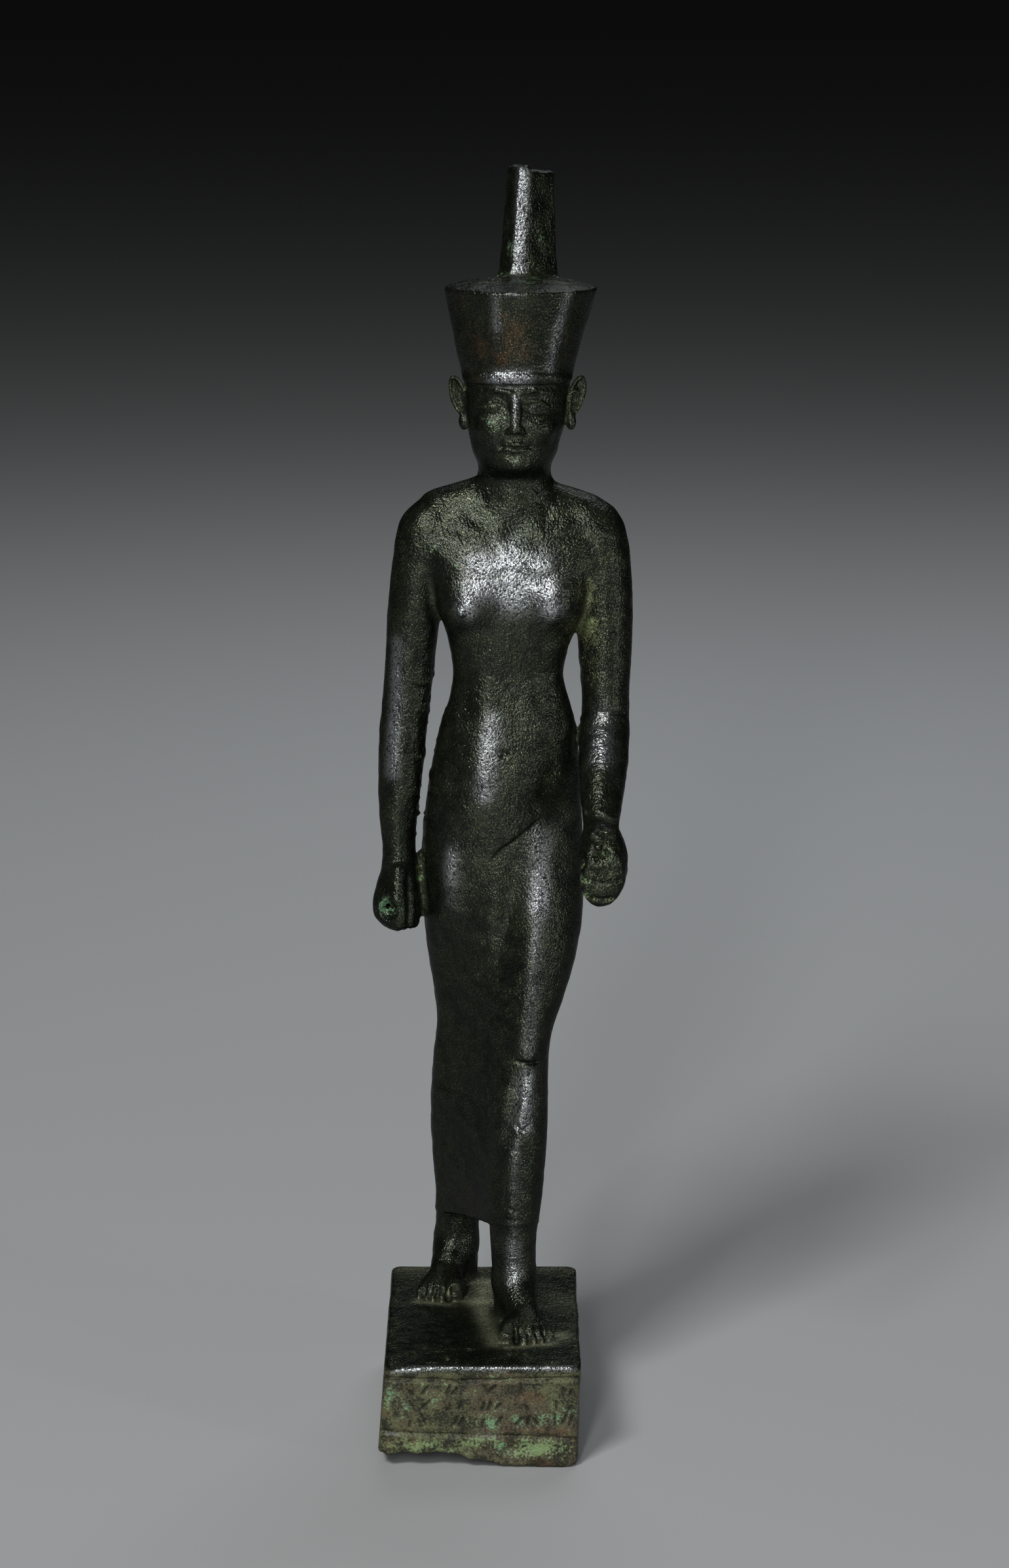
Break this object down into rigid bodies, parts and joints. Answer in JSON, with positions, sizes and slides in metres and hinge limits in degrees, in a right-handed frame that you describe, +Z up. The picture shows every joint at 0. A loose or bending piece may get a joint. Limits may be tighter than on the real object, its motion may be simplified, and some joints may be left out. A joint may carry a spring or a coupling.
{
  "type": "standing figure statuette",
  "caption": "Solid cast bronze statuette of a striding woman in a tight long dress and a flared flat-topped crown with a broken spike, on a rectangular base with an incised band.",
  "frame": {"origin": "on the flat underside of the base, below the middle of the base's top", "axes": "+Z up, -Y the way the figure faces and strides, +X the viewer's right when facing the figure"},
  "size_m": [0.036, 0.0426, 0.1745],
  "materials": {
    "bronze": "dark greenish-black patina, semi-gloss, finely pitted, with green and copper-brown traces"
  },
  "bodies": {
    "root": {"statuette": "bronze"}
  },
  "joints": []
}
